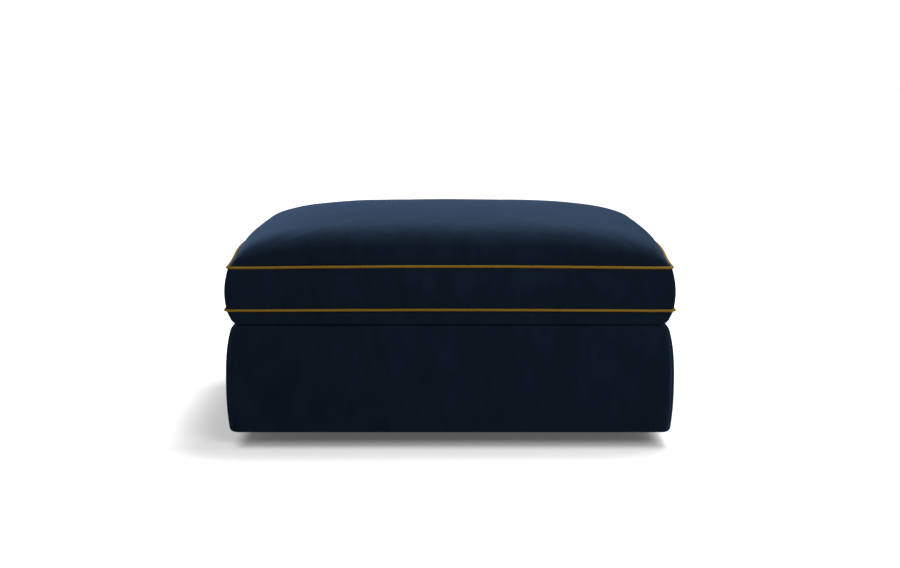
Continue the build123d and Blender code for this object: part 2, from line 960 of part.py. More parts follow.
os.makedirs("parts", exist_ok=True)
for node, shape in all_parts().items():
    export_step(shape, f"parts/{node}.step")
print("zip slider travel", round(slider_travel(), 2))
print("pull axis", [round(value, 3) for value in (*pull_axis(), zip_middle())])
print("foot centres", round(foot_x, 3), round(foot_y, 3))
print("heights: deck", base_top, "seams", lower_seam, upper_seam, "top", upper_seam + crown_height)
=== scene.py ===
import math

import bmesh
import bpy
import numpy as np
from mathutils import Matrix, Vector, noise


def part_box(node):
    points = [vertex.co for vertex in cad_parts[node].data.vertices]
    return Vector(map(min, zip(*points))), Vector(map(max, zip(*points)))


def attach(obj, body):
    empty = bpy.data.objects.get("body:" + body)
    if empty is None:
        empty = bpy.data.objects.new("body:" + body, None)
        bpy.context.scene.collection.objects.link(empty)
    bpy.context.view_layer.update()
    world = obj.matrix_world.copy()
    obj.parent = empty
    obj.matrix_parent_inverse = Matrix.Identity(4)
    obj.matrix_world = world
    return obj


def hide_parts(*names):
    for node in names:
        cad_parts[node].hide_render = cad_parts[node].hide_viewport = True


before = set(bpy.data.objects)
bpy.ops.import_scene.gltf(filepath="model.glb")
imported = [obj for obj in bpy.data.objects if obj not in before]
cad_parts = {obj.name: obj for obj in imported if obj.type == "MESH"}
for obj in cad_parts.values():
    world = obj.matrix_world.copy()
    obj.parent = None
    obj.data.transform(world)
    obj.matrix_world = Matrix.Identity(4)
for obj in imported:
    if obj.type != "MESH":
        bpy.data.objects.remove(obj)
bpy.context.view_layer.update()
mm = 0.001


# small helpers

def span(*nodes):
    lows, highs = zip(*(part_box(node) for node in nodes))
    low = Vector(min(v[i] for v in lows) for i in range(3))
    high = Vector(max(v[i] for v in highs) for i in range(3))
    return low, high


def hexColor(code):
    channels = [int(code[i:i + 2], 16) / 255 for i in (1, 3, 5)]
    return tuple(c / 12.92 if c <= 0.04045 else ((c + 0.055) / 1.055) ** 2.4 for c in channels) + (1,)


def perMeter(sizeInMm):
    # texture scale at which a pattern repeats once in that size
    return 1 / (sizeInMm * mm)


def addNode(tree, kind, inputs=None, **settings):
    # an input takes a plain value, a hex colour, a socket, or the first output of a node
    node = tree.nodes.new("ShaderNode" + kind)
    for key, value in settings.items():
        setattr(node, key, value)
    for key, value in (inputs or {}).items():
        if isinstance(value, str):
            value = hexColor(value)
        elif isinstance(value, bpy.types.Node):
            value = value.outputs[0]
        if isinstance(value, bpy.types.NodeSocket):
            tree.links.new(value, node.inputs[key])
        else:
            node.inputs[key].default_value = value
    return node


def newMaterial(name):
    material = bpy.data.materials.new(name)
    material.use_nodes = True
    material.node_tree.nodes.clear()
    return material, material.node_tree


def newObject(name, data):
    # puts a mesh, lamp or camera into the scene; a bmesh becomes a mesh first
    if isinstance(data, bmesh.types.BMesh):
        bm, data = data, bpy.data.meshes.new(name)
        bm.to_mesh(data)
        bm.free()
    made = bpy.data.objects.new(name, data)
    bpy.context.scene.collection.objects.link(made)
    return made


def addPiece(name, bm, body, material, replaces=()):
    piece = newObject(name, bm)
    piece.data.materials.append(material)
    for polygon in piece.data.polygons:
        polygon.use_smooth = True
    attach(piece, body)
    if replaces:
        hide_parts(*replaces)
    return piece


def addModifier(piece, kind, **settings):
    modifier = piece.modifiers.new(kind.title(), kind)
    for key, value in settings.items():
        setattr(modifier, key, value)
    return modifier


def finishCloth(piece, thickness=0, smooth=False):
    # smooths the mesh, gives it the thickness of its cloth, and keeps the outcome as its mesh
    if smooth:
        addModifier(piece, "SUBSURF", levels=1, render_levels=1)
    if thickness:
        addModifier(piece, "SOLIDIFY", thickness=thickness, offset=-1)
    depsgraph = bpy.context.evaluated_depsgraph_get()
    mesh = bpy.data.meshes.new_from_object(piece.evaluated_get(depsgraph), depsgraph=depsgraph)
    piece.modifiers.clear()
    old = piece.data
    piece.data = mesh
    bpy.data.meshes.remove(old)


def unitGrid(alongSteps, acrossSteps):
    # a flat grid from -1 to 1 both ways, which each piece then bends to its own form
    bm = bmesh.new()
    bmesh.ops.create_grid(bm, x_segments=alongSteps, y_segments=acrossSteps, size=1)
    return bm


def gridPlace(value, places):
    # the entry of a list that stands for a grid line between -1 and 1
    return places[round((value + 1) / 2 * (len(places) - 1))]


def evenly(start, end, count):
    return [start + (end - start) * i / count for i in range(count + 1)]


def ease(value, share):
    # moves grid lines towards the ends, where a form turns fastest
    return (1 - share) * value + share * math.sin(math.pi / 2 * value)


def unevenAt(point, unevenness):
    amount, sizeMm = unevenness
    return noise.noise(Vector(point) * perMeter(sizeMm)) * amount


def insetAt(form, share):
    # how far a side stands in from its fullest point, by its share of the height
    full = form["fullestShare"]
    if share > full:
        return form["upperInset"] * ((share - full) / (1 - full)) ** form["upperPower"]
    return form["lowerInset"] * ((full - share) / full) ** form["lowerPower"]


def sidePlaces(form, straightSteps):
    # positions from -1 to 1 along one side, close together round its corners
    straight = 1 - form["arcShare"]
    arc = evenly(0, form["arcShare"], form["arcSteps"])[:-1]
    return [a - 1 for a in arc] + evenly(-straight, straight, straightSteps) + [1 - a for a in reversed(arc)]


def roundedPoint(u, v, halfX, halfY, radius):
    # takes a point of the -1 to 1 square to the same place in a rounded rectangle
    reach = max(abs(u), abs(v))
    x, y = u * halfX, v * halfY
    innerX = math.copysign(min(abs(x), (halfX - radius) * reach), x)
    innerY = math.copysign(min(abs(y), (halfY - radius) * reach), y)
    dx, dy = x - innerX, y - innerY
    length = math.hypot(dx, dy)
    if length < 1e-9:
        return x, y
    shrink = max(abs(dx), abs(dy)) / length
    return innerX + dx * shrink, innerY + dy * shrink


def ringPoint(turn, along, halfX, halfY, radius, arcShare):
    # turn picks the front, right, back or left; along runs from -1 to 1 between the middles of its corners
    halfTangent, halfNormal = (halfX, halfY) if turn % 2 == 0 else (halfY, halfX)
    straight = 1 - arcShare
    if abs(along) <= straight:
        t, n, angle = along / straight * (halfTangent - radius), halfNormal, 0.0
    else:
        angle = math.copysign((abs(along) - straight) / arcShare * math.pi / 4, along)
        t = math.copysign(halfTangent - radius, along) + radius * math.sin(angle)
        n = halfNormal - radius + radius * math.cos(angle)
    turnBy = Matrix.Rotation(turn * math.pi / 2, 2)
    return turnBy @ Vector((t, -n)), turnBy @ Vector((math.sin(angle), -math.cos(angle)))


def smoothField(mesh, values, rounds):
    # averages a value with its neighbours, round after round
    edges = np.empty(len(mesh.edges) * 2, int)
    mesh.edges.foreach_get("vertices", edges)
    a, b = edges.reshape(-1, 2).T
    count = np.bincount(a, minlength=len(values)) + np.bincount(b, minlength=len(values))
    for _ in range(rounds):
        total = np.zeros_like(values)
        np.add.at(total, a, values[b])
        np.add.at(total, b, values[a])
        values = 0.5 * values + 0.5 * total / count[:, None]
    return values


def coordinates(mesh):
    flat = np.empty(len(mesh.vertices) * 3)
    mesh.vertices.foreach_get("co", flat)
    return flat.reshape(-1, 3)


def boundaryVertices(piece):
    bm = bmesh.new()
    bm.from_mesh(piece.data)
    found = [v.index for v in bm.verts if v.is_boundary]
    bm.free()
    return found


clothSettings = {
    "frames": 18,
    "solver": {
        "quality": 5, "mass": 0.3,
        "tension_stiffness": 20, "compression_stiffness": 20, "shear_stiffness": 10, "bending_stiffness": 0.4,
        "air_damping": 4, "use_pressure": True, "uniform_pressure_force": 3.0,
        "shrink_min": -0.014,    # how much larger the cut cloth is than the form it is sewn over
    },
    "formRounds": 40,            # averaging that tells the form, which stays, from the wrinkles
    "gain": 0.15,                # share of the wrinkles that is kept
    "cap": 3.0 * mm,
}


def settleCloth(piece, pinned):
    # sews the panel down along its seams, fills it with pressure and keeps a share of the puckers that form
    group = piece.vertex_groups.new(name="seams")
    group.add(pinned, 1.0, "REPLACE")
    rest = coordinates(piece.data)
    cloth = addModifier(piece, "CLOTH")
    cloth.settings.vertex_group_mass = "seams"
    for key, value in clothSettings["solver"].items():
        setattr(cloth.settings, key, value)
    cloth.settings.effector_weights.gravity = 0
    scene = bpy.context.scene
    for number in range(1, clothSettings["frames"] + 1):
        scene.frame_set(number)
    depsgraph = bpy.context.evaluated_depsgraph_get()
    settled = coordinates(piece.evaluated_get(depsgraph).data)
    piece.modifiers.clear()
    piece.vertex_groups.clear()
    scene.frame_set(1)
    shift = settled - rest
    wrinkles = (shift - smoothField(piece.data, shift, clothSettings["formRounds"])) * clothSettings["gain"]
    size = np.linalg.norm(wrinkles, axis=1, keepdims=True)
    wrinkles *= np.minimum(1, clothSettings["cap"] / np.maximum(size, 1e-9))
    wrinkles[pinned] = 0
    print(f"{piece.name}: moved up to {size.max() / mm:.1f} mm, mean {size.mean() / mm:.2f} mm")
    piece.data.vertices.foreach_set("co", (rest + wrinkles).ravel())
    piece.data.update()


# camera, floor and light

view = {
    "distance": 3.646,           # in front of the middle of the base
    "height": 0.9316,
    "tiltDegrees": 9.496,
    "lens": 60,
    "sensor": 36,
}


def placeCamera():
    camera = newObject("camera", bpy.data.cameras.new("camera"))
    camera.data.lens = view["lens"]
    camera.data.sensor_width = view["sensor"]
    camera.location = (0, -view["distance"], view["height"])
    camera.rotation_euler = (math.radians(90 - view["tiltDegrees"]), 0, 0)
    bpy.context.scene.camera = camera


light = {
    "worldStrength": 0.30,
    "lamps": {
        "topLight": {"at": (0.8, 0.4, 2.5), "aim": (0, 0, 0.4), "size": (1.6, 1.1), "power": 55},
        "frontLight": {"at": (1.6, -3.2, 2.0), "aim": (0, 0, 0.25), "size": (2.4, 1.2), "power": 69},
    },
    "floorSize": 40.0,
    "floorTone": 0.8,
    "floorBounce": 0.3,              # what the floor sends back up on to the object
    "paintedShadowPatch": (0.462, 0.31, 0),   # half size of the patch under the base where the floor is painted darker, a painted shadow
    "underGlow": 0.09,               # what the floor adds for the eye under the base, beside it and far off: little near the base, which paints a shadow there on top of the lamps' real one
    "besideGlow": 0.39,
    "farGlow": 1.0,
    "besideReach": 0.045,
    "farReach": (0.09, 0.30),
}


def seenRay(tree):
    # 1 for the rays that show a thing itself: from the camera, off a gloss or through something clear
    path = addNode(tree, "LightPath")
    seen = path.outputs["Is Camera Ray"]
    for kind in ("Is Glossy Ray", "Is Transmission Ray"):
        seen = addNode(tree, "Math", {0: seen, 1: path.outputs[kind]}, operation="MAXIMUM")
    return seen


def lightScene():
    for name, lamp in light["lamps"].items():
        lampObject = newObject(name, bpy.data.lights.new(name, "AREA"))
        lampObject.data.shape = "RECTANGLE"
        lampObject.data.size, lampObject.data.size_y = lamp["size"]
        lampObject.data.energy = lamp["power"]
        lampObject.location = lamp["at"]
        aim = Vector(lamp["aim"]) - Vector(lamp["at"])
        lampObject.rotation_euler = aim.to_track_quat("-Z", "Y").to_euler()
    world = bpy.data.worlds.new("studio")
    bpy.context.scene.world = world
    world.use_nodes = True
    tree = world.node_tree
    tree.nodes.clear()
    soft = addNode(tree, "Background", {"Color": (1, 1, 1, 1), "Strength": light["worldStrength"]})
    white = addNode(tree, "Background", {"Color": (1, 1, 1, 1), "Strength": 1.0})
    mix = addNode(tree, "MixShader", {0: seenRay(tree), 1: soft, 2: white})
    addNode(tree, "OutputWorld", {"Surface": mix})


def layFloor():
    bm = bmesh.new()
    bmesh.ops.create_grid(bm, x_segments=1, y_segments=1, size=light["floorSize"] / 2)
    floor = newObject("floor", bm)
    material, tree = newMaterial("studioFloor")
    paint = addNode(tree, "BsdfDiffuse", {"Color": (light["floorTone"],) * 3 + (1,)})
    bounce = addNode(tree, "BsdfDiffuse", {"Color": (light["floorBounce"],) * 3 + (1,)})
    # distance from the patch of painted shadow, which sets the glow that the eye sees there: low near the
    # base, a painted shadow on top of the lamps' real one
    spread = addNode(tree, "TexCoord").outputs["Object"]
    for operation, by in (("ABSOLUTE", (0, 0, 0)), ("SUBTRACT", light["paintedShadowPatch"]), ("MAXIMUM", (0, 0, 0))):
        spread = addNode(tree, "VectorMath", {0: spread, 1: by}, operation=operation)
    away = addNode(tree, "VectorMath", {0: spread}, operation="LENGTH").outputs["Value"]
    beside = addNode(tree, "MapRange", {
        "Value": away, "From Min": 0.0, "From Max": light["besideReach"],
        "To Min": light["underGlow"], "To Max": light["besideGlow"],
    }, interpolation_type="SMOOTHSTEP")
    strength = addNode(tree, "MapRange", {
        "Value": away, "From Min": light["farReach"][0], "From Max": light["farReach"][1],
        "To Min": beside, "To Max": light["farGlow"],
    }, interpolation_type="SMOOTHSTEP")
    glow = addNode(tree, "Emission", {"Color": (1, 1, 1, 1), "Strength": strength})
    plain = addNode(tree, "AddShader", {0: paint, 1: glow})
    mix = addNode(tree, "MixShader", {0: seenRay(tree), 1: bounce, 2: plain})
    # seen from below the floor is clear
    side = addNode(tree, "NewGeometry")
    clear = addNode(tree, "BsdfTransparent")
    mix = addNode(tree, "MixShader", {0: side.outputs["Backfacing"], 1: mix, 2: clear})
    addNode(tree, "OutputMaterial", {"Surface": mix})
    floor.data.materials.append(material)


bpy.context.scene.view_settings.view_transform = "Standard"
placeCamera()
lightScene()
layFloor()
print("camera, floor and light are in place")


# materials

def finishMaterial(tree, inputs):
    shader = addNode(tree, "BsdfPrincipled", inputs)
    addNode(tree, "OutputMaterial", {"Surface": shader})


velvetLook = {
    "pile": "#0F1822",           # seen into the pile
    "brushed": "#15202D",        # where the pile leans the other way
    "sheenTint": "#9CC4FF",
    "paintedHighlightPile": "#161F2A",     # painted highlight on level faces: a paler tone that stands in for the light falling on them from above
    "paintedHighlightBrushed": "#1B2634",
    "levelFrom": 0.84,           # upward part of the surface's direction at which the painted highlight begins
    "leanHighlight": 0.10,            # how much of the painted highlight a face has that only leans back
    "sheen": 0.22,
    "sheenRoughness": 0.45,
    "roughness": 0.75,
    "tuftMm": 1.3,               # real tufts are near 0.3 mm, drawn coarser so that they show
    "napMm": 55,
    "napStretch": (1, 1, 0.45),  # the nap runs longer up and down
    "tuftShare": 0.3,            # of the mottling, the rest being the nap's
}


def velvetMaterial():
    # cut-pile velvet: matt and deep seen into the pile, light along edges that catch the fibre tips
    material, tree = newMaterial("cutPileVelvet")
    place = addNode(tree, "TexCoord").outputs["Object"]
    stretch = addNode(tree, "Mapping", {"Vector": place, "Scale": velvetLook["napStretch"]})
    nap = addNode(tree, "TexNoise", {
        "Vector": stretch, "Scale": perMeter(velvetLook["napMm"]),
        "Detail": 5, "Roughness": 0.55, "Distortion": 0.6,
    }).outputs["Fac"]
    tuft = addNode(tree, "TexNoise", {
        "Vector": place, "Scale": perMeter(velvetLook["tuftMm"]), "Detail": 2, "Roughness": 0.6,
    }).outputs["Fac"]
    both = addNode(tree, "Mix", {"Factor": velvetLook["tuftShare"], 2: nap, 3: tuft}, data_type="FLOAT")
    lean = addNode(tree, "MapRange", {"Value": both, "From Min": 0.35, "From Max": 0.68})
    upright, paintedHighlightTone = [
        addNode(tree, "Mix", {"Factor": lean, 6: velvetLook[deep], 7: velvetLook[pale]}, data_type="RGBA")
        for deep, pale in (("pile", "brushed"), ("paintedHighlightPile", "paintedHighlightBrushed"))
    ]
    # painted highlight: faces that point upward take the paler tone and faces that lean back take a share of
    # it, which stands in for the light from above
    facing = addNode(tree, "NewGeometry")
    upward = addNode(tree, "SeparateXYZ", {0: facing.outputs["True Normal"]}).outputs["Z"]
    level = addNode(tree, "MapRange", {
        "Value": upward, "From Min": velvetLook["levelFrom"], "From Max": 1.0,
    }, interpolation_type="SMOOTHSTEP")
    leaning = addNode(tree, "MapRange", {
        "Value": upward, "From Max": velvetLook["levelFrom"], "To Max": velvetLook["leanHighlight"],
    })
    lit = addNode(tree, "Math", {0: level, 1: leaning}, operation="MAXIMUM")
    tone = addNode(tree, "Mix", {
        "Factor": lit, 6: upright.outputs[2], 7: paintedHighlightTone.outputs[2],
    }, data_type="RGBA")
    fine = addNode(tree, "Bump", {"Height": tuft, "Strength": 0.35, "Distance": 0.4 * mm})
    bump = addNode(tree, "Bump", {"Height": nap, "Strength": 0.25, "Distance": 1.5 * mm, "Normal": fine})
    finishMaterial(tree, {
        "Base Color": tone.outputs[2],
        "Roughness": velvetLook["roughness"],
        "Specular IOR Level": 0.0,
        "Sheen Weight": velvetLook["sheen"],
        "Sheen Roughness": velvetLook["sheenRoughness"],
        "Sheen Tint": velvetLook["sheenTint"],
        "Normal": bump,
    })
    return material


def wovenMaterial(name, warp, weft, threadMm, coords="Object", turnDegrees=0, sheen=0.15):
    # plain weave: threads over and under, slightly uneven along their length
    material, tree = newMaterial(name)
    place = addNode(tree, "TexCoord").outputs[coords]
    turned = addNode(tree, "Mapping", {"Vector": place, "Rotation": (0, 0, math.radians(turnDegrees))})
    waves = [addNode(tree, "TexWave", {
        "Vector": turned, "Scale": perMeter(threadMm) / 20 * math.pi,
        "Distortion": 0.6, "Detail": 1, "Detail Scale": 2,
    }, bands_direction=direction).outputs["Fac"] for direction in ("X", "Y")]
    weave = addNode(tree, "Math", {0: waves[0], 1: waves[1]}, operation="MULTIPLY")
    slub = addNode(tree, "TexNoise", {"Vector": turned, "Scale": perMeter(9), "Detail": 4})   # 9 mm long
    both = addNode(tree, "Mix", {"Factor": 0.45, 2: weave, 3: slub.outputs["Fac"]}, data_type="FLOAT")
    color = addNode(tree, "Mix", {"Factor": both, 6: weft, 7: warp}, data_type="RGBA")
    finishMaterial(tree, {
        "Base Color": color.outputs[2],
        "Roughness": 0.8,
        "Specular IOR Level": 0.2,
        "Sheen Weight": sheen,
        "Sheen Roughness": 0.4,
        "Normal": addNode(tree, "Bump", {"Height": weave, "Strength": 0.6, "Distance": 0.25 * mm}),
    })
    return material


def grainMaterial(name, dark, pale, grainMm, roughness, metallic=0.0, stretch=(1, 1, 1), depthMm=0.05):
    # one grain for moulded, sawn, pressed and plated surfaces, whose stretch gives the grain its direction
    material, tree = newMaterial(name)
    place = addNode(tree, "TexCoord").outputs["Object"]
    scaled = addNode(tree, "Mapping", {"Vector": place, "Scale": stretch})
    grain = addNode(tree, "TexNoise", {
        "Vector": scaled, "Scale": perMeter(grainMm), "Detail": 6, "Roughness": 0.6, "Distortion": 0.3,
    }).outputs["Fac"]
    color = addNode(tree, "Mix", {"Factor": grain, 6: dark, 7: pale}, data_type="RGBA")
    finishMaterial(tree, {
        "Base Color": color.outputs[2],
        "Roughness": addNode(tree, "MapRange", {
            "Value": grain, "To Min": roughness - 0.08, "To Max": roughness + 0.08,
        }),
        "Metallic": metallic,
        "Normal": addNode(tree, "Bump", {"Height": grain, "Strength": 0.5, "Distance": depthMm * mm}),
    })
    return material


velvet = velvetMaterial()
pipingCloth = wovenMaterial("goldPipingCloth", "#95731C", "#6D520F", 0.9, "UV", turnDegrees=45, sheen=0.04)
deckCotton = wovenMaterial("deckCotton", "#22262E", "#171A21", 1.2)
zipTapeCloth = wovenMaterial("zipTape", "#1B2538", "#10182A", 0.7)
bondedCloth = grainMaterial("bondedDustCloth", "#0B0B0C", "#1A1A1C", 2.5, 0.9, depthMm=0.2)
sewingThread = grainMaterial("sewingThread", "#1A2740", "#2B3B58", 0.4, 0.6)
zipNylon = grainMaterial("zipNylon", "#141D2E", "#1E2A40", 0.6, 0.35)
darkNickel = grainMaterial("darkNickel", "#4A4A4E", "#6A6A70", 1.5, 0.3, metallic=1.0, depthMm=0.02)
zincSteel = grainMaterial("zincPlatedSteel", "#8A8E94", "#B4B8BE", 2.0, 0.35, metallic=1.0, depthMm=0.02)
mouldedPlastic = grainMaterial("mouldedPlastic", "#0E0E0F", "#17171A", 0.8, 0.45)
glidePlastic = grainMaterial("glidePlastic", "#26272A", "#33353A", 1.0, 0.5)
sawnPine = grainMaterial("sawnPine", "#B98A54", "#E0BE8A", 6, 0.7, stretch=(1, 1, 0.2), depthMm=0.15)
pressedBoard = grainMaterial("pressedBoard", "#6A4A2C", "#8C6A45", 3, 0.75, depthMm=0.1)
openFoam = grainMaterial("openCellFoam", "#D9CFA8", "#F0E8C8", 1.2, 0.95, depthMm=0.4)
fibreWadding = grainMaterial("fibreWadding", "#DADAD6", "#F6F6F2", 4, 0.95, depthMm=0.5)
cottonCord = wovenMaterial("cottonCord", "#E4DDC8", "#C4BA9E", 1.0, turnDegrees=35)
insulatorWeave = wovenMaterial("insulatorCloth", "#9A7E52", "#6E5736", 2.0)
print("materials are made")

nodeFinish = {
    "springs": zincSteel, "spring_clips": zincSteel, "tie_wires": zincSteel, "frame_screws": zincSteel,
    "foot_screws": zincSteel, "staples": zincSteel, "corner_blocks": sawnPine, "insulator": insulatorWeave,
    "piping_cords": cottonCord, "foam_core": openFoam, "deck_pad": openFoam, "zip_stops": darkNickel,
    "foot_glides": glidePlastic, "deck_cloth": deckCotton, "dust_cover": bondedCloth,
}
groupFinish = {                  # by how the node's name starts or ends
    "_rail": sawnPine, "_post": sawnPine, "_board": pressedBoard, "_padding": openFoam,
    "_foot": mouldedPlastic, "fibre_wrap": fibreWadding,
}


def finishNodes():
    for name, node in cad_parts.items():
        finish = nodeFinish.get(name, velvet)
        for part, material in groupFinish.items():
            if name.startswith(part) or name.endswith(part):
                finish = material
        node.data.materials.clear()
        node.data.materials.append(finish)


finishNodes()


# cushion

cushion = {
    "seamRadius": 11 * mm,
    # a fullness is how level a curve meets the crown and how steeply it leaves the seam: 1, 1 is straight
    # and 2, 2 a quarter of an ellipse
    "sideRoll": 335 * mm,        # rounded shoulder of the crown at the two ends
    "sideFullness": (2.585, 2.47),
    "sideStart": 9 * mm,         # the ends rise gently at first, inside their piping
    "frontRoll": 112 * mm,
    "frontFullness": (2.54, 4.57),
    "cornerSoftness": 0.946,
    "dome": 22.5 * mm,
    "peakShare": 0.984,          # of the crown's height that the solid reaches
    "topSteps": (144, 104),
    "topEase": (0.45, 0.7),
    "bellySteps": (116, 82),
    "bellyEase": 0.8,
    "bellyEndRoll": 25 * mm,
    "bellyFrontRoll": 5 * mm,
    "bellyEndFullness": (1.55, 1.55),
    "bellyFrontFullness": (4, 4),
    "bellyLift": 0.06,           # share of its depth by which the front lip stays clear of the deck
    "bellyLiftReach": 26 * mm,
    "bellyCorner": 4,            # how square the rolled edge stays round the corners
    "tuck": 6 * mm,              # seam allowance turned in behind the piping
    "tuckDrop": 0.7 * mm,
    "underPiping": 2.2 * mm,     # how far the panel's edge reaches in under the piping
    "uneven": (0.9 * mm, 130),   # how much, and over how many millimetres
    "calmRise": 30 * mm,         # the unevenness grows from nothing at the seam to all of it at this height
}

topLow, topHigh = span("cushion_top_panel")
crownRise = (topHigh.z - topLow.z) / cushion["peakShare"]
bellyLow, bellyHigh = span("cushion_bottom_panel")


def shoulder(depth, roll, fullness):
    share = min(max(depth / roll, 0.0), 1.0)
    return (1 - (1 - share) ** fullness[0]) ** (1 / fullness[1])


def fromSeam(x, y, high):
    # distances in from the end and from the front or back, both nought all round the rounded corner
    radius = cushion["seamRadius"]
    fromEnd, fromFront = high.x - abs(x), high.y - abs(y)
    if fromEnd < radius and fromFront < radius:
        inside = radius - math.hypot(radius - fromEnd, radius - fromFront)
        share = max(0.0, inside) / max(min(fromEnd, fromFront), 1e-9)
        return fromEnd * share, fromFront * share
    return fromEnd, fromFront


def crownHeight(x, y):
    fromEnd, fromFront = fromSeam(x, y, topHigh)
    ends = shoulder(fromEnd, cushion["sideRoll"], cushion["sideFullness"])
    ends *= 1 - math.exp(-fromEnd / cushion["sideStart"])
    fronts = shoulder(fromFront, cushion["frontRoll"], cushion["frontFullness"])
    dome = (1 - (x / topHigh.x) ** 2) * (1 - (y / topHigh.y) ** 2)
    shoulders = ends * fronts * (1 - cushion["cornerSoftness"] * (1 - ends) * (1 - fronts))
    return (crownRise - cushion["dome"]) * shoulders + cushion["dome"] * dome


seams = {
    "upper": {"drawnIn": 6 * mm, "endsOut": 14 * mm, "endsIn": 2.5 * mm, "rise": 0, "droop": 2.4 * mm},
    "lower": {"drawnIn": 3 * mm, "endsOut": 4 * mm, "endsIn": 0.8 * mm, "rise": -0.4 * mm, "droop": 1.4 * mm},
    "bow": 1.6,                  # how the drawing in fades towards the corners
    "endBow": 3.0,               # how the middle of an end bellies out
    "fade": 12,                  # how fast both fade away from the seam
}


def seamShift(x, y, halfX, halfY, name):
    # the long seams pull in between the corners, the short ones belly out, and the corners hang a little
    seam = seams[name]
    bowX = max(0, 1 - (x / halfX) ** 2) ** seams["bow"]
    bowY = max(0, 1 - (y / halfY) ** 2) ** seams["bow"]
    endsOut = seam["endsOut"] * max(0, 1 - (y / halfY) ** 2) ** seams["endBow"]
    byEnd = min(1, abs(x) / halfX) ** seams["fade"]
    byFront = min(1, abs(y) / halfY) ** seams["fade"]
    along = max(bowX * byFront, bowY * byEnd)
    return Vector((
        math.copysign(byEnd, x) * (endsOut - seam["endsIn"]),
        -math.copysign(seam["drawnIn"] * bowX * byFront, y),
        (seam["rise"] * along - seam["droop"] * (1 - along)) * max(byEnd, byFront),
    ))


def tuckPiece(piece, drop):
    # brings the panel's edge out under the piping and turns it in, as its seam allowance lies inside
    bm = bmesh.new()
    bm.from_mesh(piece.data)
    for v in bm.verts:
        if v.is_boundary:
            v.co += Vector((v.co.x, v.co.y, 0)).normalized() * cushion["underPiping"]
    made = bmesh.ops.extrude_edge_only(bm, edges=[e for e in bm.edges if e.is_boundary])
    for v in made["geom"]:
        if isinstance(v, bmesh.types.BMVert):
            inward = -Vector((v.co.x, v.co.y, 0)).normalized()
            v.co += inward * cushion["tuck"] + Vector((0, 0, drop))
    bm.to_mesh(piece.data)
    bm.free()


def makeTop():
    bm = unitGrid(*cushion["topSteps"])
    for v in bm.verts:
        u, w = ease(v.co.x, cushion["topEase"][0]), ease(v.co.y, cushion["topEase"][1])
        x, y = roundedPoint(u, w, topHigh.x, topHigh.y, cushion["seamRadius"])
        height = crownHeight(x, y)
        uneven = unevenAt((x, y, 0), cushion["uneven"])
        z = topLow.z + height + uneven * min(1, height / cushion["calmRise"])
        v.co = Vector((x, y, z)) + seamShift(x, y, topHigh.x, topHigh.y, "upper")
    piece = addPiece("cushionTop", bm, "cushion", velvet, ["cushion_top_panel", "fibre_wrap_top"])
    settleCloth(piece, boundaryVertices(piece))
    tuckPiece(piece, -cushion["tuckDrop"])
    finishCloth(piece, smooth=True)


def bellyDepth(x, y):
    # 0 at the lower seam, 1 where the cushion lies on the deck
    fromEnd, fromFront = fromSeam(x, y, bellyHigh)
    ends = shoulder(fromEnd, cushion["bellyEndRoll"], cushion["bellyEndFullness"])
    fronts = shoulder(fromFront, cushion["bellyFrontRoll"], cushion["bellyFrontFullness"])
    fronts *= 1 - cushion["bellyLift"] * max(0, 1 - fromFront / cushion["bellyLiftReach"])
    if min(ends, fronts) < 1e-3:
        return 0.0
    power = cushion["bellyCorner"]
    return (ends ** -power + fronts ** -power - 1) ** (-1 / power)


def makeBelly():
    bm = unitGrid(*cushion["bellySteps"])
    drop = bellyHigh.z - bellyLow.z
    for v in bm.verts:
        u, w = ease(v.co.x, cushion["bellyEase"]), ease(v.co.y, cushion["bellyEase"])
        x, y = roundedPoint(u, w, bellyHigh.x, bellyHigh.y, cushion["seamRadius"])
        depth = bellyDepth(x, y)
        shift = seamShift(x, y, bellyHigh.x, bellyHigh.y, "lower") * (1 - depth)
        v.co = Vector((x, y, bellyHigh.z - drop * depth)) + shift
    bmesh.ops.reverse_faces(bm, faces=bm.faces)
    replaced = ["cushion_bottom_panel", "fibre_wrap_bottom"]
    piece = addPiece("cushionUnderside", bm, "cushion", velvet, replaced)
    rolledEdge = [v.index for v in piece.data.vertices if v.co.z > bellyLow.z + 0.1 * mm]
    settleCloth(piece, rolledEdge)
    for v in piece.data.vertices:
        v.co.z = max(v.co.z, bellyLow.z)      # flat where it rests on the deck
    tuckPiece(piece, cushion["tuckDrop"])
    finishCloth(piece, smooth=True)


boxing = {
    "radius": 11 * mm,
    "fullestShare": 0.35,        # height of the fullest point between the seams
    "lowerInset": 3.6 * mm,
    "lowerPower": 2,
    "upperInset": 7.6 * mm,
    "upperPower": 2,
    "arcShare": 0.06,
    "arcSteps": 4,
    "frontSteps": 124,
    "sideSteps": 88,
    "heightSteps": 14,
    "zipHalfLength": 440 * mm,
    "thickness": 1.5 * mm,
}

bandLow, bandHigh = span("boxing_band")


def boxingPoint(turn, along, share):
    point, outward = ringPoint(turn, along, bandHigh.x, bandHigh.y, boxing["radius"], boxing["arcShare"])
    place = point - outward * insetAt(boxing, share)
    spot = Vector((place.x, place.y, bandLow.z + share * (bandHigh.z - bandLow.z)))
    spot += seamShift(point.x, point.y, bandHigh.x, bandHigh.y, "upper") * share ** 4
    return spot + seamShift(point.x, point.y, bandHigh.x, bandHigh.y, "lower") * (1 - share) ** 6


